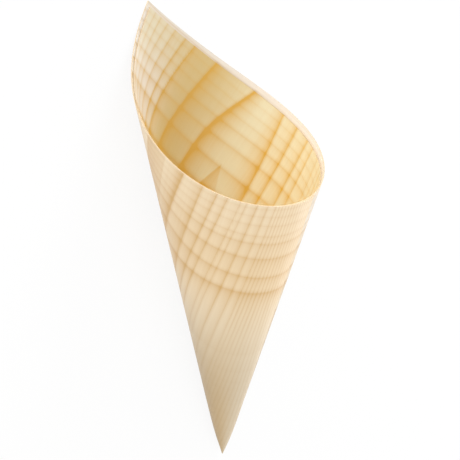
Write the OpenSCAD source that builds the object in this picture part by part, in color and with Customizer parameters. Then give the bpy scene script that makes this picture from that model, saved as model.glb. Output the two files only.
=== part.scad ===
// Wooden serving cone: one thin pine veneer sheet, rolled two turns into a pointed
// cone and glued. It lies on its side, on the line from its tip to its peak, with the
// tip towards +X and the mouth towards -X. Millimetres and degrees.

/* [Cone] */
// Length along the wall from the tip to the peak of the mouth
peak_length = 180; // [150:1:220]
// Length along the wall from the tip to the low point of the mouth, at the seam
low_length = 123; // [90:0.5:145]
// Angle between the wall and the cone's own axis
half_angle = 14.5; // [10:0.5:18]
// How far the inner turn's peak stops below the outer turn's peak
inner_drop = 2.5; // [1:0.5:8]
// How far the inner seam edge stops below the low point of the mouth
inner_seam_drop = 3; // [1:0.5:8]

/* [Veneer] */
// Thickness of the wood sheet
ply = 0.35; // [0.2:0.05:0.6]
// Room for the glue between one turn and the next
glue_gap = 0.05; // [0.04:0.01:0.1]
// Width of the lap past the second turn, measured along the mouth
seam_lap = 4; // [0.5:0.5:12]
// Width of the pinhole that the rolled tip leaves
tip_hole = 0.4; // [0.2:0.1:2]

/* [Smoothness] */
// Flat strips in one turn of the wall, an even number
turn_strips = 96; // [48:12:120]

/* [Hidden] */

veneer_color = [0.89, 0.77, 0.60];

// Each turn lies this much further out than the one before it
turn_rise = ply + glue_gap;
// The winding angle runs from the inner seam edge, at 0, to the outer seam edge
half_turn = 180;
two_turns = 720;
strip_angle = 360 / turn_strips;
lap_angle = seam_lap / (low_length * sin(half_angle)) * 180 / PI;
last_angle = two_turns + lap_angle;
// The tip is cut off where the innermost turn leaves the pinhole open
tip_length = (tip_hole / 2 + (turn_rise + ply / 2) * cos(half_angle)) / sin(half_angle);

// Winding angles at which the wall is worked out, whole strips first
whole_strips = ceil(last_angle / strip_angle) - 1;
stations = concat([for (i = [0 : whole_strips]) i * strip_angle], [last_angle]);

// The sheet's upper outline is a zigzag: inner seam edge, inner peak, low point, outer
// peak, low point, and on towards the next peak under the lap. Corner k lies half a
// turn after corner k - 1, at this distance from the tip.
function corner_length(k) =
    k == 0 ? low_length - inner_seam_drop :
    k == 1 ? peak_length - inner_drop :
    k % 2 == 0 ? low_length : peak_length;

function flat_direction(a) = [cos(a * sin(half_angle)), sin(a * sin(half_angle))];

function flat_corner(k) = corner_length(k) * flat_direction(k * half_turn);

// Distance from the tip to the straight sheet edge between corners k and k + 1,
// along the ray that becomes the wall line at winding angle a
function edge_length(k, a) =
    let (start = flat_corner(k), run = flat_corner(k + 1) - start)
    cross(start, run) / cross(flat_direction(a), run);

function mouth_length(a) = edge_length(floor(a / half_turn), a);

// How far the middle of the sheet stands off the cone of nominal size
function turn_offset(a) = (a / 360 - 1) * turn_rise;

// A point of the upright cone: distance from the tip, winding angle and offset
function upright_point(s, a, off) =
    let (radius = s * sin(half_angle) + off * cos(half_angle))
    [radius * cos(a), radius * sin(a), s * cos(half_angle) - off * sin(half_angle)];

// The same point with the wall line under the peak laid level, tip towards +X
function lying_point(s, a, off) =
    let (p = upright_point(s, a, off))
    [p.x * sin(half_angle) - p.z * cos(half_angle),
     p.y,
     p.x * cos(half_angle) + p.z * sin(half_angle)];

// The four corners of the sheet's cross-section at one winding angle: inside at the
// tip, inside at the mouth, outside at the mouth, outside at the tip
function section_points(a) =
    let (mid = turn_offset(a), mouth = mouth_length(a))
    [lying_point(tip_length, a, mid - ply / 2),
     lying_point(mouth, a, mid - ply / 2),
     lying_point(mouth, a, mid + ply / 2),
     lying_point(tip_length, a, mid + ply / 2)];

sheet_points = [for (a = stations) each section_points(a)];

// Two triangles on each of the four sides of every strip, and the two seam edges
sheet_faces = concat(
    [for (i = [0 : len(stations) - 2], j = [0 : 3])
        each let (p = 4 * i + j, q = 4 * i + (j + 1) % 4)
        [[q + 4, q, p], [p + 4, q + 4, p]]],
    [[0, 1, 2, 3]],
    [[for (j = [3 : -1 : 0]) 4 * (len(stations) - 1) + j]]);

function lowest(axis) = min([for (p = sheet_points) p[axis]]);
function highest(axis) = max([for (p = sheet_points) p[axis]]);

// The origin lies on the ground, under the middle of the outer box
base_middle = [(lowest(0) + highest(0)) / 2, (lowest(1) + highest(1)) / 2, lowest(2)];

// The rolled sheet, in one piece
module veneer_cone() {
    color(veneer_color)
        translate(-base_middle)
            polyhedron(points = sheet_points, faces = sheet_faces, convexity = 8);
}

veneer_cone();
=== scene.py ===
"""Dresses the rolled wooden serving cone: pine grain, a floor, soft light and a camera."""

import logging
import math
from dataclasses import dataclass, field
from enum import Enum, IntEnum
from typing import Any, Optional, Sequence, Union

import bpy
import numpy as np
from mathutils import Matrix, Vector

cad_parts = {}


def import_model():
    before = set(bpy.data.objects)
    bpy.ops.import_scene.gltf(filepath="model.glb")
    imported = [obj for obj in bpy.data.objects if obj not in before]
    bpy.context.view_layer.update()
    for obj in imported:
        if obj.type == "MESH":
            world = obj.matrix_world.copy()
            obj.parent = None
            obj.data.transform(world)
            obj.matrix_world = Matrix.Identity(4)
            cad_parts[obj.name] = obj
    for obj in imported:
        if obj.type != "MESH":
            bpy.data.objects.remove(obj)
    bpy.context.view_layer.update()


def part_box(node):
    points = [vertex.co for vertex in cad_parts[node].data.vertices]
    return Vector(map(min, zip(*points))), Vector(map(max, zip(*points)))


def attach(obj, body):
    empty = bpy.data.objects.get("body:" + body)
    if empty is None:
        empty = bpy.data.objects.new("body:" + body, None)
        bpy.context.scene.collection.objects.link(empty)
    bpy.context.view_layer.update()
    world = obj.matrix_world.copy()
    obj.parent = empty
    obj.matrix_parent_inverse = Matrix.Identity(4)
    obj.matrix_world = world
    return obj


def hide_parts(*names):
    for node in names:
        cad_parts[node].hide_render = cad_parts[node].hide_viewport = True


LOG = logging.getLogger("serving_cone")
MM = 0.001
PHOTO_PIXELS = 460

HALF_TURN = 180
FULL_TURN = 360
WHITE = (1, 1, 1, 1)
NOISE_MIDDLE = 0.5

Number = Union[float, "Signal"]
ScreenColor = tuple[int, int, int]


def linear_color(red: int, green: int, blue: int) -> tuple[float, float, float, float]:
    """Turns a colour as seen on a screen into the linear colour that shaders use.

    Each channel is divided by 255 and raised by the sRGB curve.

    Args:
        red, green, blue: channels from 0 to 255.

    Returns:
        The linear colour with an alpha of 1.
    """
    shares = np.array([red, green, blue]) / 255
    curve = np.where(shares <= 0.04045, shares / 12.92, ((shares + 0.055) / 1.055) ** 2.4)
    return (float(curve[0]), float(curve[1]), float(curve[2]), 1.0)


def smooth_step(low: float, high: float, values: np.ndarray) -> np.ndarray:
    """Rises from 0 at low to 1 at high as 3 t^2 - 2 t^3, with t the share of the way.

    Args:
        low: where the rise starts.
        high: where it ends.
        values: the places to work it out at.

    Returns:
        The heights, from 0 to 1.
    """
    share = np.clip((values - low) / (high - low), 0, 1)
    return share * share * (3 - 2 * share)


class Signal:
    """A value inside a shader. The operators + - * / on it add Math nodes."""

    def __init__(self, graph: "ShaderGraph", socket: bpy.types.NodeSocket) -> None:
        """Wraps an output socket of the graph."""
        self.graph = graph
        self.socket = socket

    def __add__(self, other: Number) -> "Signal":
        """This value plus another."""
        return self.graph.math("ADD", self, other)

    def __radd__(self, other: Number) -> "Signal":
        """Another value plus this one."""
        return self.graph.math("ADD", other, self)

    def __sub__(self, other: Number) -> "Signal":
        """This value less another."""
        return self.graph.math("SUBTRACT", self, other)

    def __rsub__(self, other: Number) -> "Signal":
        """Another value less this one."""
        return self.graph.math("SUBTRACT", other, self)

    def __mul__(self, other: Number) -> "Signal":
        """This value times another."""
        return self.graph.math("MULTIPLY", self, other)

    def __rmul__(self, other: Number) -> "Signal":
        """Another value times this one."""
        return self.graph.math("MULTIPLY", other, self)

    def __truediv__(self, other: Number) -> "Signal":
        """This value divided by another."""
        return self.graph.math("DIVIDE", self, other)

    def __rtruediv__(self, other: Number) -> "Signal":
        """Another value divided by this one."""
        return self.graph.math("DIVIDE", other, self)


class ShaderGraph:
    """A node tree of a material or of the world, built from expressions."""

    def __init__(self, name: str, owner: Optional[bpy.types.World] = None) -> None:
        """Starts an empty tree in the owner, or else in a new material of that name."""
        self.owner = owner or bpy.data.materials.new(name)
        self.owner.use_nodes = True
        self.tree = self.owner.node_tree
        self.tree.nodes.clear()

    def feed(self, socket: bpy.types.NodeSocket, value: Any) -> None:
        """Sets an input socket to a value, or links a Signal or an output socket to it."""
        if isinstance(value, Signal):
            value = value.socket
        if isinstance(value, bpy.types.NodeSocket):
            self.tree.links.new(value, socket)
        else:
            socket.default_value = value

    def node(self, kind: str, settings: Optional[dict[str, Any]] = None,
             inputs: Optional[dict[Union[str, int], Any]] = None) -> bpy.types.Node:
        """Adds one node.

        Args:
            kind: the node's type, such as ShaderNodeTexNoise.
            settings: attributes of the node, which are set first.
            inputs: socket name or number to a value, a Signal or an output socket.

        Returns:
            The new node.
        """
        node = self.tree.nodes.new(kind)
        for name, value in (settings or {}).items():
            setattr(node, name, value)
        for key, value in (inputs or {}).items():
            self.feed(node.inputs[key], value)
        return node

    def math(self, operation: str, *values: Number) -> Signal:
        """Adds a Math node on the given values and returns its result."""
        node = self.node("ShaderNodeMath", {"operation": operation}, dict(enumerate(values)))
        return Signal(self, node.outputs[0])

    def clamped(self, value: Signal) -> Signal:
        """Limits a value to the range from 0 to 1."""
        node = self.node("ShaderNodeClamp", inputs={"Value": value})
        return Signal(self, node.outputs[0])

    def seen_ray(self) -> Signal:
        """Gives 1 on camera, glossy and transmission rays and 0 on all others."""
        path = self.node("ShaderNodeLightPath")
        rays = [Signal(self, path.outputs[name])
                for name in ("Is Camera Ray", "Is Glossy Ray", "Is Transmission Ray")]
        return self.clamped(rays[0] + rays[1] + rays[2])

    def attribute(self, name: str) -> Signal:
        """Reads a number that the mesh carries on its points."""
        node = self.node("ShaderNodeAttribute", {"attribute_name": name})
        return Signal(self, node.outputs["Fac"])

    def noise(self, place: bpy.types.NodeSocket, waves: tuple[float, float],
              detail: float, roughness: float = 0.5) -> Signal:
        """A noise pattern on a place.

        Args:
            place: the vector socket that the pattern follows.
            waves: how many waves it has in a metre along and across the grain.
            detail: how many finer layers it has.
            roughness: how strong the finer layers are.

        Returns:
            The noise, around NOISE_MIDDLE.
        """
        scaled = self.node("ShaderNodeMapping", inputs={"Vector": place, "Scale": (*waves, 1)})
        noise = self.node("ShaderNodeTexNoise",
                          inputs={"Vector": scaled.outputs[0], "Scale": 1.0, "Detail": detail,
                                  "Roughness": roughness})
        return Signal(self, noise.outputs["Fac"])

    def blend(self, factor: Number, first: Any, second: Any,
              how: str = "MIX") -> bpy.types.NodeSocket:
        """Mixes two colours.

        Args:
            factor: share of the second colour.
            first: the first colour, a tuple or a socket.
            second: the second colour, a tuple or a socket.
            how: the blend type, such as MIX or MULTIPLY.

        Returns:
            The mixed colour's socket.
        """
        node = self.node("ShaderNodeMix", {"data_type": "RGBA", "blend_type": how})
        sockets = [s for s in node.inputs if s.enabled]
        for socket, value in zip(sockets, (factor, first, second)):
            self.feed(socket, value)
        return next(s for s in node.outputs if s.enabled)

    def finish(self, surface: bpy.types.NodeSocket) -> bpy.types.Material:
        """Joins the last shader to the output and returns the material."""
        self.node("ShaderNodeOutputMaterial", inputs={"Surface": surface})
        return self.owner


@dataclass(frozen=True)
class RolledSheet:
    """The sheet's sizes and how it is rolled, in metres and degrees.

    A point of the sheet is named by its distance from the tip and its winding angle.
    The winding angle starts at 0 on the inner seam edge and grows through two turns.
    The radius swells and shrinks three times a turn, by the share uneven_round. The
    tip is squeezed to a point: its radius shrinks by the share tip_squeeze, which
    fades away from the tip over squeeze_reach.
    """

    peak_length: float = 180 * MM
    low_length: float = 123.5 * MM
    half_angle: float = 14.5
    inner_drop: float = 2.5 * MM
    inner_seam_drop: float = 3 * MM
    ply: float = 0.35 * MM
    glue_gap: float = 0.05 * MM
    seam_lap: float = 4 * MM
    tip_hole: float = 0.4 * MM
    uneven_round: float = 0.018
    tip_squeeze: float = 0.85
    squeeze_reach: float = 4 * MM

    @property
    def slope(self) -> float:
        """Sine of the half angle: the wall's radius for each unit of length."""
        return math.sin(math.radians(self.half_angle))

    @property
    def rise(self) -> float:
        """Cosine of the half angle: the wall's height for each unit of length."""
        return math.cos(math.radians(self.half_angle))

    @property
    def turn_rise(self) -> float:
        """How much further out each turn lies than the one before it."""
        return self.ply + self.glue_gap

    @property
    def tip_length(self) -> float:
        """Where the tip is cut off, so that the innermost turn leaves the pinhole."""
        return (self.tip_hole / 2 + (self.turn_rise + self.ply / 2) * self.rise) / self.slope

    @property
    def last_angle(self) -> float:
        """Winding angle of the outer seam edge."""
        return 2 * FULL_TURN + math.degrees(self.seam_lap / (self.low_length * self.slope))

    def flat_direction(self, winding: np.ndarray) -> np.ndarray:
        """Direction in the flat sheet of the ray at a winding angle.

        Its angle is the winding angle times the sine of the half angle.
        """
        angle = np.radians(winding * self.slope)
        return np.stack([np.cos(angle), np.sin(angle)], axis=-1)

    def flat_corner(self, number: np.ndarray) -> np.ndarray:
        """Corner of the sheet's outline in the flat: low points and peaks by turns.

        Corner k lies half a turn after corner k - 1, at the low length when k is even
        and at the peak length when it is odd, with the first peak a little lower.
        """
        peak = np.where(number == 1, self.peak_length - self.inner_drop, self.peak_length)
        low = np.where(number == 0, self.low_length - self.inner_seam_drop, self.low_length)
        length = np.where(number % 2 == 0, low, peak)
        return length[..., None] * self.flat_direction(number * HALF_TURN)

    def mouth_length(self, winding: np.ndarray) -> np.ndarray:
        """Distance from the tip to the mouth, where the ray meets the straight outline.

        For the outline from corner p along run r and the ray d, it is p x r over d x r.
        """
        number = np.floor(winding / HALF_TURN).astype(int)
        start = self.flat_corner(number)
        run = self.flat_corner(number + 1) - start
        ray = self.flat_direction(winding)
        across = start[..., 0] * run[..., 1] - start[..., 1] * run[..., 0]
        return across / (ray[..., 0] * run[..., 1] - ray[..., 1] * run[..., 0])

    def turn_offset(self, winding: np.ndarray) -> np.ndarray:
        """How far the middle of the sheet stands off the nominal cone."""
        return (winding / FULL_TURN - 1) * self.turn_rise

    def lying_points(self, length: np.ndarray, winding: np.ndarray,
                     offset: np.ndarray) -> np.ndarray:
        """Points of the rolled sheet, laid on the wall line under its peak.

        The upright point has radius = (length * sine * (1 - k sin 3a) + offset *
        cosine) * (1 - q exp(-(length - tip length) / reach)) at the winding angle a, and
        height = length * cosine - offset * sine. Here k is uneven_round, q tip_squeeze
        and reach squeeze_reach. The cone is then laid down about the Y axis, so that the
        wall line under its peak is level, with the tip towards +X.

        Args:
            length: distances from the tip.
            winding: winding angles in degrees.
            offset: distances off the nominal cone, outwards.

        Returns:
            An array of points, three numbers each.
        """
        roundness = 1 - self.uneven_round * np.sin(3 * np.radians(winding))
        squeeze = self.tip_squeeze * np.exp((self.tip_length - length) / self.squeeze_reach)
        radius = (length * self.slope * roundness + offset * self.rise) * (1 - squeeze)
        angle = np.radians(winding)
        x, y = radius * np.cos(angle), radius * np.sin(angle)
        z = length * self.rise - offset * self.slope
        return np.stack([x * self.slope - z * self.rise, y, x * self.rise + z * self.slope], -1)


@dataclass(frozen=True)
class RingRow:
    """Where the growth rings cross one line across the sheet, in millimetres.

    The line lies at one place along the grain. The heart line parts the rings that
    widen upwards from those that widen downwards, and each list runs outwards.
    """

    along: float
    heart: float
    above: tuple[float, ...]
    below: tuple[float, ...]


@dataclass(frozen=True)
class FlatSawnFigure:
    """The figure of growth rings on the flat sheet: long rings that close to an arch.

    The rings are placed on a few lines across the sheet and run smoothly between
    them, and past the outermost lines they run on to the reach. Past the last ring of
    the lower list come fine rings of even width, and past the last of the upper list
    one ring as wide as the last step. Next to the heart line the late wood is pale: it
    starts at the first number of heart_fade and is full from the second on. Places are
    in millimetres.
    """

    rows: tuple[RingRow, ...] = (
        RingRow(-124, 66, (86, 97, 103.5, 109.5, 115, 119, 123, 126),
                (51, 42.6, 37, 33, 28, 26, 22, 18.2, 15)),
        RingRow(-60, 66, (83, 92, 100.5, 106.5, 111, 115, 119, 122.5),
                (56, 45.5, 40.5, 37, 31.7, 29.5, 25, 20.6, 17.2)),
        RingRow(30, 66, (83.5, 91.5, 100.3, 107, 110.5, 115.3, 119.2, 122.5),
                (53, 45.5, 40, 36, 31, 28.5, 24.5, 20.5, 17)),
        RingRow(84, 65.6, (81, 96.2, 105.2, 110, 114.5, 118, 121, 124),
                (51, 46, 39.2, 35.2, 30, 27, 23, 19.5, 16.5)),
        RingRow(104, 64.6, (77.8, 92.8, 103.3, 107.7, 113, 117.3, 120.2, 123.2),
                (53.4, 47.4, 41.1, 36.8, 30.6, 27.5, 24, 20.5, 17)),
        RingRow(124, 63.7, (70.3, 89, 100, 104.8, 110.5, 114.8, 118.7, 122),
                (57, 49.2, 42.3, 38, 32, 28, 24.5, 21, 17.5)),
    )
    above_strength: tuple[float, ...] = (1.0, 0.9, 0.85, 0.75, 0.5, 0.42, 0.38, 0.38, 0.3)
    below_strength: tuple[float, ...] = (0.8, 0.7, 0.7, 0.6, 0.45, 0.4, 0.6, 0.5, 0.5)
    fine_strength: float = 0.45
    fine_rings: int = 11
    past_edge: int = 6
    last_step: float = 3.0
    heart_fade: tuple[float, float] = (0.2, 0.5)
    reach: float = 128
    row_overrun: float = 0.2

    def marks(self, along: np.ndarray) -> tuple[np.ndarray, np.ndarray]:
        """Places of every ring boundary on the lines through some places.

        Between two rows at a and b, with t the share of the way, a boundary follows the
        cubic (1 + 2t)(1 - t)^2 p + t(1 - t)^2 w m + t^2(3 - 2t) q - t^2(1 - t) w n, with
        p and q its places on the rows, m and n its slopes there and w their distance.

        Args:
            along: places along the grain, in one flat array.

        Returns:
            Two arrays with a row for each place: the boundaries from the heart upwards
            and the boundaries from the heart downwards, each with the heart line first.
        """
        lines = np.array([row.along for row in self.rows], dtype=float)
        upper = np.array([(row.heart, *row.above) for row in self.rows])
        lower = np.array([(row.heart, *row.below) for row in self.rows])
        upper = np.concatenate([upper, upper[:, -1:] + self.last_step], axis=1)
        step = lower[:, -1:] / self.fine_rings
        fine = lower[:, -1:] - step * np.arange(1, self.fine_rings + self.past_edge + 1)
        lower = np.concatenate([lower, fine], axis=1)
        index = np.clip(np.searchsorted(lines, along) - 1, 0, len(lines) - 2)
        width = (lines[index + 1] - lines[index])[:, None]
        share = np.clip((along[:, None] - lines[index][:, None]) / width,
                        -self.row_overrun, 1 + self.row_overrun)
        result = []
        for places in (upper, lower):
            slopes = np.gradient(places, lines, axis=0)
            near = (1 + 2 * share) * (1 - share) ** 2 * places[index]
            far = share**2 * (3 - 2 * share) * places[index + 1]
            bend = (share * (1 - share) ** 2 * slopes[index]
                    - share**2 * (1 - share) * slopes[index + 1]) * width
            result.append(near + far + bend)
        return result[0], result[1]

    def place_in_rings(self, across: np.ndarray, marks: np.ndarray,
                       strength: np.ndarray) -> tuple[np.ndarray, ...]:
        """Ring number, ring width and strength of places on one side of the heart.

        In a ring of width w that starts at boundary k, with t the share passed, the
        number is k + (t^3 - 2t^2 + t) a + (3t^2 - 2t^3) + (t^3 - t^2) b. Here a and b
        are w over the mean width of the rings that meet at its two boundaries, so the
        number runs on smoothly there. The width given is that of a ring with the slope
        that the number has at the place.

        Args:
            across: distances across the sheet.
            marks: ring boundaries of each place, from the heart outwards.
            strength: how dark the late wood of each ring is.

        Returns:
            Three arrays as long as across.
        """
        distance = np.abs(across - marks[:, 0])
        depth = np.abs(marks - marks[:, :1])
        ring = np.clip((distance[:, None] >= depth).sum(axis=1) - 1, 0, depth.shape[1] - 2)
        widths = np.diff(depth, axis=1)
        meeting = np.concatenate([widths[:, :1], (widths[:, 1:] + widths[:, :-1]) / 2,
                                  widths[:, -1:]], axis=1)
        start, width, first, last = (
            np.take_along_axis(values, (ring + step)[:, None], axis=1)[:, 0]
            for values, step in ((depth, 0), (widths, 0), (meeting, 0), (meeting, 1)))
        share = np.clip((distance - start) / width, 0, 1)
        near, far = width / first, width / last
        rise = ((share**3 - 2 * share**2 + share) * near + (3 - 2 * share) * share**2
                + (share**3 - share**2) * far)
        slope = ((3 * share**2 - 4 * share + 1) * near + 6 * share * (1 - share)
                 + (3 * share**2 - 2 * share) * far)
        number = ring + rise
        places = np.concatenate([self.heart_fade, np.arange(1, len(strength) + 1)])
        dark = np.interp(number, places, np.concatenate([[0, strength[0]], strength]))
        return number, width / slope, dark

    def rings(self, along: np.ndarray, across: np.ndarray) -> tuple[np.ndarray, ...]:
        """Ring number, ring width and late wood strength at places of the flat sheet.

        Args:
            along: distances along the grain, in millimetres, 0 under the tip.
            across: distances across the grain, in millimetres, 0 at the tip's edge.

        Returns:
            Three arrays of the same shape.
        """
        shape = along.shape
        place = np.clip(along.reshape(-1), -self.reach, self.reach)
        height = across.reshape(-1)
        upper, lower = self.marks(place)
        fine = np.full(self.fine_rings + self.past_edge, self.fine_strength)
        above = self.place_in_rings(height, upper, np.array(self.above_strength))
        below = self.place_in_rings(height, lower,
                                    np.concatenate([self.below_strength, fine]))
        high = height > upper[:, 0]
        return tuple(np.where(high, first, second).reshape(shape)
                     for first, second in zip(above, below))


@dataclass(frozen=True)
class WoodTones:
    """Slow changes of the wood's colour over the sheet.

    Places along and across the grain are in millimetres, lengths from the tip in
    metres and winding angles in degrees. Each pair is where a smooth step starts and
    where it ends.
    """

    gold_line: float = 92
    gold_spread: float = 20
    inner_gold: float = 0.75
    behind_gold: float = 0.3
    tip_gold: float = 0.7
    tip_gold_end: tuple[float, float] = (0.02, 0.075)
    gold_to_seam: tuple[float, float] = (640, 700)
    # painted sheen: this pale blend also paints the gleam of grazing light on the wall, and it
    # fades along the grain as that gleam does
    sapwood_and_sheen_share: float = 0.9
    sapwood_and_sheen_across: tuple[float, float] = (96, 114)
    sapwood_and_sheen_along: tuple[float, float] = (98, 122)
    sapwood_and_sheen_loss: float = 0.75
    tip_tone: float = 0.57
    wall_gain: float = 0.28
    wall_reach: tuple[float, float] = (0.03, 0.095)
    seam_gain: float = 0.14
    seam_reach: tuple[float, float] = (600, 690)
    clear_reach: tuple[float, float] = (0.055, 0.08)
    own_faint: float = 0.6
    behind_faint: float = 0.15

    def golden_zone(self, across: np.ndarray) -> np.ndarray:
        """Golden zone above the heart: exp(-((y - gold_line) / gold_spread)^2)."""
        return np.exp(-((across - self.gold_line) / self.gold_spread) ** 2)

    def gold(self, length: np.ndarray, winding: np.ndarray, own: np.ndarray,
             behind: np.ndarray) -> np.ndarray:
        """How golden the early wood is.

        On the inner turn it is the golden zone. On the outer turn the zone of the turn
        behind shows through, and the wood is golden towards the tip, less so towards
        the outer seam.

        Args:
            length: distances from the tip.
            winding: winding angles.
            own: the golden zone at each point.
            behind: the golden zone of the turn behind it, 0 where there is none.

        Returns:
            The share of gold, from 0 to 1.
        """
        towards_tip = (self.tip_gold * (1 - smooth_step(*self.tip_gold_end, length))
                       * (1 - smooth_step(*self.gold_to_seam, winding)))
        return np.where(winding < FULL_TURN, self.inner_gold * own,
                        self.behind_gold * behind + towards_tip)

    def sapwood_and_sheen(self, along: np.ndarray, across: np.ndarray) -> np.ndarray:
        """Share of pale outer wood and painted sheen: it grows across the grain and fades along
        it.
        """
        return self.sapwood_and_sheen_share * (smooth_step(*self.sapwood_and_sheen_across, across)
                                     * (1 - self.sapwood_and_sheen_loss
                                        * smooth_step(*self.sapwood_and_sheen_along, along)))

    def tone(self, length: np.ndarray, winding: np.ndarray) -> np.ndarray:
        """Paleness of the outer turn: least at the tip, more up the wall and at the seam."""
        outer = (self.tip_tone + self.wall_gain * smooth_step(*self.wall_reach, length)
                 + self.seam_gain * smooth_step(*self.seam_reach, winding))
        return np.where(winding < FULL_TURN, 1.0, outer)

    def clearness(self, length: np.ndarray, faint: float) -> np.ndarray:
        """How clear the rings are: faint near the tip and full further up the wall."""
        return faint + (1 - faint) * smooth_step(*self.clear_reach, length)


@dataclass(frozen=True)
class LateWood:
    """How the late wood darkens across one ring. Lengths are in millimetres.

    The dark line of a ring is as wide as line plus widening times the ring's width, and
    it fades over drop past the ring's boundary. Broad shading reaches back over
    shading, and it is full in rings from wide_ring on.
    """

    line: float
    drop: float
    widening: float = 0.1
    shading: float = 5.0
    wide_ring: float = 12.0

    def darkness(self, graph: ShaderGraph, prefix: str, wobble: Signal) -> Signal:
        """Darkness of the late wood: it grows towards each ring boundary, then drops.

        With s the share of the ring passed and g its width, the darkness is
        0.5 c exp(-(1 - s) g / shading) + 0.5 exp(-(1 - s) g / (line + widening g))
        before the boundary, where c is g / wide_ring up to 1, and it falls as
        exp(-s g / drop) after it. The larger of the two counts.

        Args:
            graph: the material's graph.
            prefix: which set of ring attributes is read.
            wobble: a small shift of the rings, in millimetres.

        Returns:
            The darkness, from 0 to 1.
        """
        spacing = graph.attribute(prefix + "_spacing")
        share = graph.math("FRACT", graph.attribute(prefix + "_ring") + wobble / spacing)
        short = (share - 1) * spacing
        wide = graph.clamped(spacing / self.wide_ring)
        slow = graph.math("EXPONENT", short / self.shading) * wide * 0.5
        steep = graph.math("EXPONENT", short / (spacing * self.widening + self.line)) * 0.5
        fall = graph.math("EXPONENT", share * spacing * (-1 / self.drop))
        return graph.math("MAXIMUM", slow + steep, fall) * graph.attribute(prefix + "_dark")


@dataclass(frozen=True)
class HeartTongue:
    """The innermost ring, whose dark heart opens as a pointed tongue, in millimetres."""

    point_along: float = 94.4
    heart: float = 65.6
    opening: float = 0.38
    half_width: float = 6.0
    least_half: float = 0.001
    crispness: float = 1.6
    lower_edge: float = 0.4

    def darkness(self, graph: ShaderGraph, sheet: bpy.types.NodeSocket) -> Signal:
        """Darkness of the tongue.

        With x and y the place in the sheet, its half width is opening times
        point_along - x, up to half_width, and it spans that far on both sides of the
        heart. It is darkest along its upper edge and palest along its lower edge.

        Args:
            graph: the material's graph.
            sheet: the place in the sheet, in metres.

        Returns:
            The darkness, from 0 to 1.
        """
        parts = graph.node("ShaderNodeSeparateXYZ", inputs={"Vector": sheet})
        along = Signal(graph, parts.outputs["X"]) * (1 / MM)
        across = Signal(graph, parts.outputs["Y"]) * (1 / MM)
        opened = graph.math("MAXIMUM", (self.point_along - along) * self.opening,
                            self.least_half)
        half = graph.math("MINIMUM", opened, self.half_width)
        off = across - self.heart
        inside = graph.clamped((half - graph.math("ABSOLUTE", off)) * self.crispness)
        upper = graph.clamped(off / half * 0.5 + 0.5)
        return inside * (upper * (1 - self.lower_edge) + self.lower_edge)


@dataclass(frozen=True)
class WoodFinish:
    """Bare sanded pine: pale early wood, golden late wood lines and fine fibres.

    The early wood turns to gold, to pale outer wood with a painted sheen of grazing
    light, or to a painted paleness of light shining through the sheet where only one
    turn lies, each where the mesh says so. Waves are counted in a metre along and
    across the grain, and ring shifts are in millimetres.
    """

    name: str
    early: ScreenColor
    late: ScreenColor
    gold: ScreenColor
    # colour of the pale outer wood, which also paints a sheen of grazing light
    sapwood_and_sheen: ScreenColor
    # painted light: the paler colour where light shines through the sheet and only one turn lies
    light_through_single: ScreenColor
    behind_contrast: float
    own_contrast: float = 1.2
    tongue_contrast: float = 0.6
    streak_contrast: float = 0.22
    fibre_contrast: float = 0.18
    # how strongly the painted light through one turn pales the wood
    light_through_share: float = 0.8
    roughness: float = 0.45
    fibre_roughness: float = 0.2
    coat: float = 0.6
    coat_roughness: float = 0.3
    bump: float = 0.2
    bump_height: float = 0.1 * MM
    fibre_relief: float = 0.6
    streak_relief: float = 0.4
    late_relief: float = 0.3
    drift_waves: tuple[float, float] = (14, 60)
    drift: float = 0.7
    ripple_waves: tuple[float, float] = (140, 700)
    ripple: float = 0.35
    fibre_waves: tuple[float, float] = (60, 5200)
    streak_waves: tuple[float, float] = (22, 900)
    own_late: LateWood = LateWood(line=0.5, drop=0.6)
    behind_late: LateWood = LateWood(line=0.7, drop=0.9)
    tongue: HeartTongue = HeartTongue()

    def build(self) -> bpy.types.Material:
        """Builds the material.

        Returns:
            The material, which reads the sheet's UV map and the mesh's attributes.
        """
        graph = ShaderGraph(self.name)
        sheet = graph.node("ShaderNodeUVMap", {"uv_map": "sheet"}).outputs[0]
        drift = (graph.noise(sheet, self.drift_waves, detail=1) - NOISE_MIDDLE) * self.drift
        ripple = (graph.noise(sheet, self.ripple_waves, detail=2) - NOISE_MIDDLE) * self.ripple
        own = self.own_late.darkness(graph, "own", drift + ripple)
        behind = self.behind_late.darkness(graph, "behind", drift)
        double = graph.attribute("double")
        fibre = graph.noise(sheet, self.fibre_waves, detail=3, roughness=0.6)
        streak = graph.noise(sheet, self.streak_waves, detail=3, roughness=0.55)
        shade = own * self.own_contrast + behind * double * self.behind_contrast
        shade = shade + self.tongue.darkness(graph, sheet) * self.tongue_contrast
        shade = (shade + (streak - NOISE_MIDDLE) * self.streak_contrast
                 + (fibre - NOISE_MIDDLE) * self.fibre_contrast)
        pale = graph.blend(graph.attribute("gold"), linear_color(*self.early),
                           linear_color(*self.gold))
        # painted sheen: the pale outer wood blend also whitens the wood where grazing light would
        # gleam
        pale = graph.blend(graph.attribute("sapwood_and_sheen"), pale, linear_color(*self.sapwood_and_sheen))
        # painted light: where only one turn lies, the wood is paled as if light shone through it
        pale = graph.blend((1 - double) * self.light_through_share, pale, linear_color(*self.light_through_single))
        wood = graph.blend(graph.clamped(shade), pale, linear_color(*self.late))
        wood = graph.blend(1.0, wood, graph.attribute("tone").socket, "MULTIPLY")
        rough = (fibre - NOISE_MIDDLE) * self.fibre_roughness + self.roughness
        height = fibre * self.fibre_relief + streak * self.streak_relief - own * self.late_relief
        bump = graph.node("ShaderNodeBump", inputs={"Height": height, "Strength": self.bump,
                                                    "Distance": self.bump_height})
        surface = graph.node("ShaderNodeBsdfPrincipled",
                             inputs={"Base Color": wood, "Roughness": rough,
                                     "Coat Weight": self.coat,
                                     "Coat Roughness": self.coat_roughness,
                                     "Normal": bump.outputs[0]})
        return graph.finish(surface.outputs[0])


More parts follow.
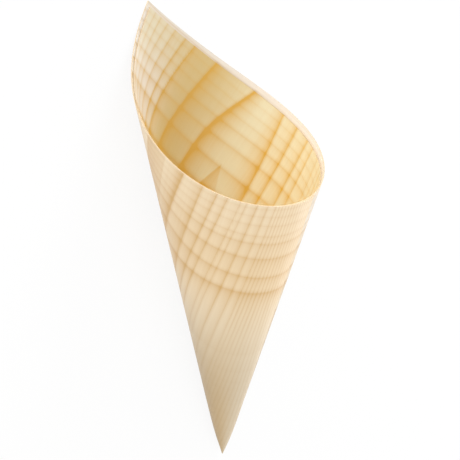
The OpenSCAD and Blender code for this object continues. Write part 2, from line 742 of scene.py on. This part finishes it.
@dataclass(frozen=True)
class CutEdgeFinish:
    """The sheet's cut edge: speckled cream end grain."""

    name: str = "cut_edge_pine"
    cream: ScreenColor = (178, 158, 128)
    shade: ScreenColor = (166, 138, 98)
    speckle_waves: tuple[float, float] = (900, 900)
    speckle_start: float = 0.45
    speckle_contrast: float = 2
    roughness: float = 0.75

    def build(self) -> bpy.types.Material:
        """Builds the material."""
        graph = ShaderGraph(self.name)
        sheet = graph.node("ShaderNodeUVMap", {"uv_map": "sheet"}).outputs[0]
        speckle = graph.noise(sheet, self.speckle_waves, detail=2) - self.speckle_start
        color = graph.blend(graph.clamped(speckle * self.speckle_contrast),
                            linear_color(*self.cream), linear_color(*self.shade))
        surface = graph.node("ShaderNodeBsdfPrincipled",
                             inputs={"Base Color": color, "Roughness": self.roughness})
        return graph.finish(surface.outputs[0])


class Side(Enum):
    """The two faces of the sheet, as the direction of each off the sheet's middle."""

    INSIDE = -1
    OUTSIDE = 1


class Finish(IntEnum):
    """The cone's three finishes, in the order in which its mesh holds them."""

    INSIDE = 0
    OUTSIDE = 1
    CUT_EDGE = 2


@dataclass
class VeneerCone:
    """The rolled sheet as one closed mesh, with its grain carried on its points.

    The mesh stays inside the CAD node's box, smaller than it by the clearance. Where
    the other turn stops short, a painted paleness of light shining through the one turn
    starts on a strip that is twice as wide as single_edge.
    """

    sheet: RolledSheet = field(default_factory=RolledSheet)
    figure: FlatSawnFigure = field(default_factory=FlatSawnFigure)
    tones: WoodTones = field(default_factory=WoodTones)
    columns_per_turn: int = 192
    rows: int = 100
    clearance: float = 0.01 * MM
    single_edge: float = 0.4 * MM
    name: str = "rolled_veneer"
    node: str = "veneer_cone"
    slot: str = "pine_veneer"

    def stations(self) -> tuple[np.ndarray, np.ndarray]:
        """Winding angles of the columns and shares of the wall's length of the rows."""
        step = FULL_TURN / self.columns_per_turn
        whole = np.arange(0, self.sheet.last_angle, step)
        return np.append(whole, self.sheet.last_angle), np.linspace(0, 1, self.rows + 1)

    def grid(self) -> tuple[np.ndarray, np.ndarray]:
        """Lengths and winding angles on the grid of columns and rows."""
        winding, share = self.stations()
        tip = self.sheet.tip_length
        mouth = self.sheet.mouth_length(winding)
        length = tip + (mouth[:, None] - tip) * share[None, :]
        return length, np.broadcast_to(winding[:, None], length.shape)

    def points(self) -> np.ndarray:
        """Points of the inside face and then the outside face, in the row frame.

        The finished mesh stands on the ground, under the middle of the CAD node's box
        and with its peak where that of the node is. Where it would reach past that box
        along an axis, it is pressed into it, by less than one percent.
        """
        length, winding = self.grid()
        middle = self.sheet.turn_offset(winding)
        faces = [self.sheet.lying_points(length, winding, middle + side.value * self.sheet.ply / 2)
                 for side in (Side.INSIDE, Side.OUTSIDE)]
        points = np.concatenate([face.reshape(-1, 3) for face in faces])
        low, high = (np.array(corner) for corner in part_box(self.node))
        bottom, top = points.min(0), points.max(0)
        scale = np.minimum(1, (high - low - self.clearance) / (top - bottom))
        peak_line = np.array([bottom[0], (bottom + top)[1] / 2, bottom[2]])
        ground = np.array([low[0] + self.clearance / 2, (low + high)[1] / 2, low[2]])
        return (points - peak_line) * scale + ground

    def faces(self) -> tuple[np.ndarray, np.ndarray]:
        """Quads of the sheet's two faces and of its cut edges.

        Returns:
            The quads as rows of four point numbers, and the finish of each.
        """
        columns = len(self.stations()[0])
        index = np.arange(2 * columns * (self.rows + 1)).reshape(2, columns, self.rows + 1)
        quads = []
        finishes = []

        def add(first: np.ndarray, second: np.ndarray, finish: Finish) -> None:
            """Adds the quads between two matching lines or grids of points."""
            near = np.stack([first[..., :-1], first[..., 1:]], -1).reshape(-1, 2)
            far = np.stack([second[..., 1:], second[..., :-1]], -1).reshape(-1, 2)
            block = np.concatenate([near, far], 1)
            quads.append(block)
            finishes.append(np.full(len(block), finish.value))

        inside, outside = index
        add(inside[:-1], inside[1:], Finish.INSIDE)
        add(outside[1:], outside[:-1], Finish.OUTSIDE)
        add(inside[0][::-1], outside[0][::-1], Finish.CUT_EDGE)
        add(inside[-1], outside[-1], Finish.CUT_EDGE)
        add(inside[:, -1][::-1], outside[:, -1][::-1], Finish.CUT_EDGE)
        add(inside[:, 0], outside[:, 0], Finish.CUT_EDGE)
        return np.concatenate(quads), np.concatenate(finishes)

    def grain(self) -> dict[str, np.ndarray]:
        """Attributes of each point: its own rings, those of the turn behind it and tones.

        The flat place of a point is its length times the flat direction of its winding
        angle. The turn behind it is one turn further out on the first turn and one turn
        further in on the second. Where the other turn stops short, double falls to 0.

        Returns:
            The name of each attribute, to its values on the inside and outside points.
        """
        length, winding = self.grid()
        other = np.where(winding < FULL_TURN, winding + FULL_TURN, winding - FULL_TURN)
        reach = self.sheet.mouth_length(np.clip(other, 0, self.sheet.last_angle))
        double = smooth_step(-self.single_edge, self.single_edge, reach - length)
        result: dict[str, np.ndarray] = {"double": double}
        places = {}
        for prefix, angle, faint in (("own", winding, self.tones.own_faint),
                                     ("behind", other, self.tones.behind_faint)):
            place = length[..., None] * self.sheet.flat_direction(angle) / MM
            number, spacing, dark = self.figure.rings(place[..., 0], place[..., 1])
            result[prefix + "_ring"] = number
            result[prefix + "_spacing"] = spacing
            result[prefix + "_dark"] = dark * self.tones.clearness(length, faint)
            places[prefix] = place
        along, across = places["own"][..., 0], places["own"][..., 1]
        through = self.tones.golden_zone(places["behind"][..., 1]) * double
        result["gold"] = self.tones.gold(length, winding, self.tones.golden_zone(across), through)
        # this share also paints a sheen of grazing light
        result["sapwood_and_sheen"] = self.tones.sapwood_and_sheen(along, across)
        result["tone"] = self.tones.tone(length, winding)
        return {name: np.tile(values.reshape(-1), 2) for name, values in result.items()}

    def build(self, materials: Sequence[bpy.types.Material]) -> bpy.types.Object:
        """Builds the cone, puts it in the place of its CAD node and dresses it.

        Args:
            materials: the inside, outside and cut edge materials.

        Returns:
            The finished object.
        """
        points = self.points()
        quads, finishes = self.faces()
        mesh = bpy.data.meshes.new(self.name)
        mesh.from_pydata(points.tolist(), [], quads.tolist())
        for material in materials:
            mesh.materials.append(material)
        mesh.polygons.foreach_set("material_index", finishes.astype(np.int32))
        mesh.polygons.foreach_set("use_smooth", np.ones(len(quads), dtype=bool))
        self.mark_edges(mesh)
        for name, values in self.grain().items():
            layer = mesh.attributes.new(name, "FLOAT", "POINT")
            layer.data.foreach_set("value", values.astype(np.float32))
        self.lay_out(mesh)
        mesh.validate()
        mesh.update()
        cone = bpy.data.objects.new(self.name, mesh)
        bpy.context.scene.collection.objects.link(cone)
        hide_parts(self.node)
        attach(cone, "root")
        LOG.info("%s: %d points, %d faces", self.name, len(points), len(quads))
        return cone

    def mark_edges(self, mesh: bpy.types.Mesh) -> None:
        """Marks the sheet's long and short edges sharp, so that the faces stay crisp.

        An edge is sharp where it joins a cut edge quad to another kind of quad.
        """
        loops = np.empty(len(mesh.loops), dtype=np.int32)
        mesh.loops.foreach_get("edge_index", loops)
        finishes = np.empty(len(mesh.polygons), dtype=np.int32)
        mesh.polygons.foreach_get("material_index", finishes)
        per_loop = np.repeat(finishes == Finish.CUT_EDGE.value, 4)
        cut = np.zeros(len(mesh.edges), dtype=bool)
        plain = np.zeros(len(mesh.edges), dtype=bool)
        cut[loops[per_loop]] = True
        plain[loops[~per_loop]] = True
        sharp = mesh.attributes.new("sharp_edge", "BOOLEAN", "EDGE")
        sharp.data.foreach_set("value", cut & plain)

    def lay_out(self, mesh: bpy.types.Mesh) -> None:
        """Gives the mesh a UV map: each point's place in the flat sheet, in metres."""
        length, winding = self.grid()
        place = (length[..., None] * self.sheet.flat_direction(winding)).reshape(-1, 2)
        corners = np.empty(len(mesh.loops), dtype=np.int32)
        mesh.loops.foreach_get("vertex_index", corners)
        layer = mesh.uv_layers.new(name="sheet")
        layer.data.foreach_set("uv", np.tile(place, (2, 1))[corners].reshape(-1))


@dataclass(frozen=True)
class Lamp:
    """A soft lamp that points at the cone, in metres and watts."""

    name: str
    place: tuple[float, float, float]
    size: tuple[float, float]
    power: float

    def build(self, target: Vector) -> bpy.types.Object:
        """Hangs the lamp, white and rectangular, so that it shines towards the target."""
        data = bpy.data.lights.new(self.name, "AREA")
        data.shape = "RECTANGLE"
        data.size, data.size_y = self.size
        data.energy = self.power
        lamp = bpy.data.objects.new(self.name, data)
        spot = Vector(self.place)
        lamp.matrix_world = Matrix.Translation(spot) @ (target - spot).to_track_quat(
            "-Z", "Y").to_matrix().to_4x4()
        bpy.context.scene.collection.objects.link(lamp)
        return lamp


@dataclass(frozen=True)
class Studio:
    """A white floor, an evenly lit room with soft lamps around the cone, and the camera.

    The floor lies lower than the cone by floor_gap. The share floor_white of what the
    camera sees of it is plain white, and the rest is lit paper.
    """

    floor_half: float = 3.0
    floor_gap: float = 0.05 * MM
    floor_white: float = 0.9
    paper: ScreenColor = (238, 238, 238)
    room_level: float = 0.84
    lamps: tuple[Lamp, ...] = (
        Lamp("mouth_lamp", (-1.4, -0.4, 0.16), (1.2, 0.3), 28.0),
        Lamp("side_lamp", (-1.0, 1.0, 0.4), (1.0, 0.6), 14.0),
        Lamp("tip_lamp", (0.9, 0.4, 0.8), (0.8, 0.8), 2.0),
        Lamp("back_lamp", (0.4, 1.4, 0.2), (1.6, 0.38), 4.0),
    )
    aim: tuple[float, float, float] = (-2.863 * MM, -1.406 * MM, 22.766 * MM)
    distance: float = 1.0
    azimuth: float = 21.079
    elevation: float = 38.365
    roll: float = -94.635
    focal_pixels: float = 2732.7

    def build_floor(self) -> bpy.types.Object:
        """Lays the floor just under the cone."""
        half = self.floor_half
        corners = [(x, y, -self.floor_gap)
                   for x, y in ((-half, -half), (half, -half), (half, half), (-half, half))]
        mesh = bpy.data.meshes.new("floor")
        mesh.from_pydata(corners, [], [(0, 1, 2, 3)])
        mesh.materials.append(self.floor_finish())
        floor = bpy.data.objects.new("floor", mesh)
        bpy.context.scene.collection.objects.link(floor)
        return floor

    def floor_finish(self) -> bpy.types.Material:
        """White paper floor: part lit paper, so that it keeps the cone's shadow.

        The other part is a plain white that only camera, glossy and transmission rays
        see, so it puts no plain light on the cone.

        Returns:
            The floor's material.
        """
        graph = ShaderGraph("white_paper")
        seen = graph.seen_ray()
        lit = graph.node("ShaderNodeBsdfDiffuse", inputs={"Color": linear_color(*self.paper)})
        white = graph.node("ShaderNodeEmission", inputs={"Color": WHITE, "Strength": 1.0})
        mixed = graph.node("ShaderNodeMixShader",
                           inputs={0: seen * self.floor_white, 1: lit.outputs[0],
                                   2: white.outputs[0]})
        return graph.finish(mixed.outputs[0])

    def build_world(self) -> None:
        """Fills the room with even light, and shows it as plain white.

        The strength is the room level, plus what is missing to 1 for the camera,
        glossy and transmission rays.
        """
        graph = ShaderGraph("room", bpy.data.worlds.new("room"))
        seen = graph.seen_ray()
        strength = seen * (1 - self.room_level) + self.room_level
        light = graph.node("ShaderNodeBackground", inputs={"Color": WHITE, "Strength": strength})
        graph.node("ShaderNodeOutputWorld", inputs={"Surface": light.outputs[0]})
        bpy.context.scene.world = graph.owner

    def build_camera(self) -> bpy.types.Object:
        """Sets the camera at the photograph's viewing angle.

        It looks along the azimuth, down by the elevation, rolled about its own axis.
        """
        azimuth, elevation = math.radians(self.azimuth), math.radians(self.elevation)
        look = Vector((math.sin(azimuth) * math.cos(elevation),
                       math.cos(azimuth) * math.cos(elevation), -math.sin(elevation)))
        data = bpy.data.cameras.new("camera")
        data.sensor_width = 36.0
        data.lens = self.focal_pixels / PHOTO_PIXELS * data.sensor_width
        data.clip_end = 20.0
        camera = bpy.data.objects.new("camera", data)
        level = look.to_track_quat("-Z", "Y").to_matrix().to_4x4()
        turn = Matrix.Rotation(-math.radians(self.roll), 4, "Z")
        camera.matrix_world = (Matrix.Translation(Vector(self.aim) - look * self.distance)
                               @ level @ turn)
        bpy.context.scene.collection.objects.link(camera)
        bpy.context.scene.camera = camera
        return camera

    def build(self) -> None:
        """Builds the floor, the light and the camera."""
        self.build_floor()
        self.build_world()
        for lamp in self.lamps:
            lamp.build(Vector(self.aim))
        self.build_camera()
        LOG.info("studio: floor, %d lamps, even room light and camera", len(self.lamps))


def main() -> None:
    """Builds every piece around the frame."""
    logging.basicConfig(level=logging.INFO)
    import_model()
    bpy.context.scene.view_settings.view_transform = "Standard"
    # The pale outer wood colours also paint a grazing sheen, and the colours for one turn paint
    # light shining through the sheet.
    inside = WoodFinish("pine_inside", early=(214, 206, 174), late=(198, 152, 50),
                        gold=(190, 162, 94), sapwood_and_sheen=(222, 216, 208), light_through_single=(240, 232, 220),
                        behind_contrast=0.62)
    outside = WoodFinish("pine_outside", early=(253, 233, 199), late=(220, 176, 108),
                         gold=(240, 204, 146), sapwood_and_sheen=(248, 238, 222), light_through_single=(253, 233, 199),
                         behind_contrast=0.6, coat=0.2)
    VeneerCone().build([inside.build(), outside.build(), CutEdgeFinish().build()])
    Studio().build()


if __name__ == "__main__":
    main()
